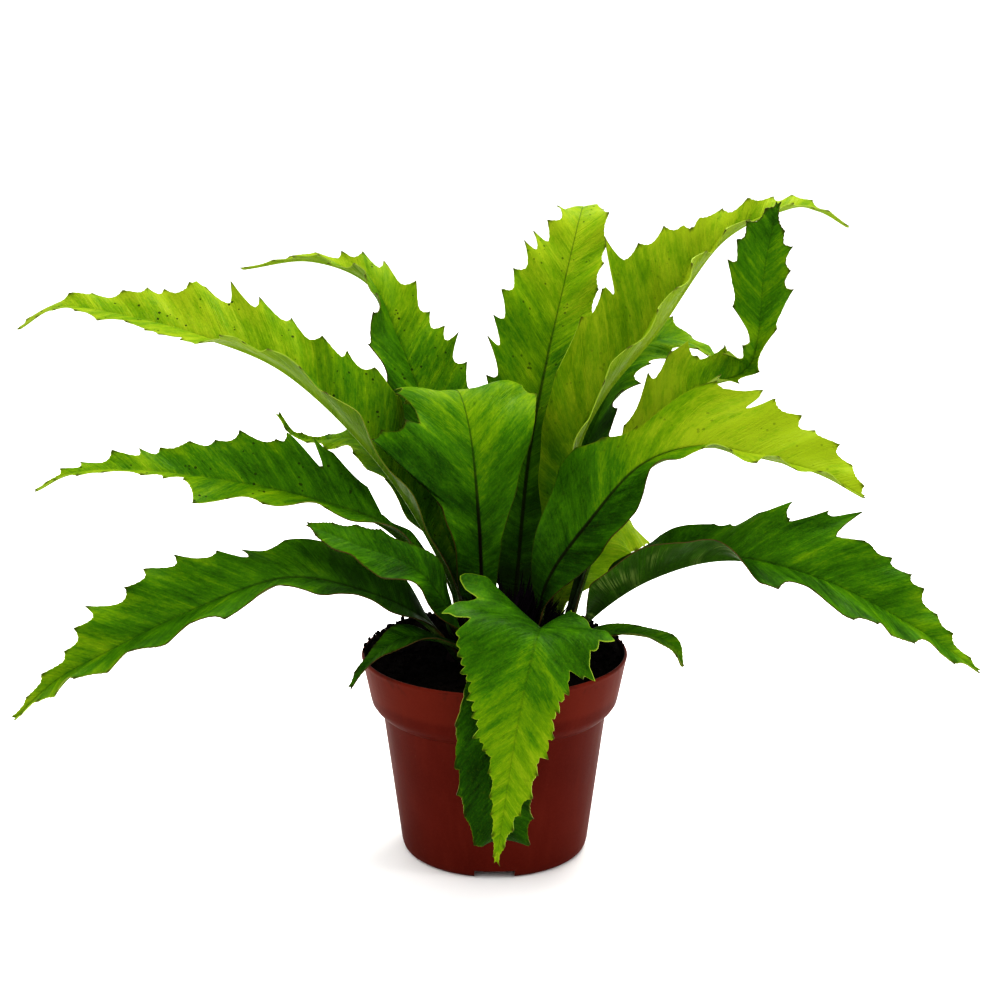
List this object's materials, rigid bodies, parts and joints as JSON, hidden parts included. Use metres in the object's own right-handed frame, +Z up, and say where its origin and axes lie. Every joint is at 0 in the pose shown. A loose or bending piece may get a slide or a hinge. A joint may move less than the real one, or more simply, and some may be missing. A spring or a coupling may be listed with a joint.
{
  "type": "potted birds nest fern",
  "caption": "Birds nest fern with wavy, saw-cut fronds that arch out of a scaly crown, in a round brown nursery pot filled with soil.",
  "frame": {"origin": "middle of the pot's underside, on the surface that the pot stands on", "axes": "+Z up, -Y towards the side seen in the picture, +X to the right seen from there"},
  "size_m": [0.4276, 0.2489, 0.2902],
  "materials": {
    "pot_plastic": "thin reddish-brown plastic, slightly satin",
    "potting_soil": "moist black-brown peat crumbs",
    "crown_fibre": "dark brown scaly fibre",
    "frond_light": "fresh yellow-green leaf, waxy sheen",
    "frond_dark": "deep green leaf, waxy sheen"
  },
  "bodies": {
    "root": {"pot": "pot_plastic", "soil": "potting_soil", "crown": "crown_fibre", "frond_upper_left": "frond_light", "frond_back_left": "frond_light", "frond_centre": "frond_light", "frond_back_tall": "frond_light", "frond_upper_right": "frond_light", "frond_right_upturned": "frond_dark", "frond_right_bright": "frond_light", "frond_right_low": "frond_dark", "frond_back_right_low": "frond_light", "frond_back_right": "frond_dark", "frond_back_left_low": "frond_light", "frond_left_mid": "frond_light", "frond_left_low": "frond_dark", "frond_left_short": "frond_dark", "frond_left_tiny": "frond_dark", "frond_right_tiny": "frond_dark", "frond_front_bright": "frond_light", "frond_front_dark": "frond_dark"}
  },
  "joints": []
}
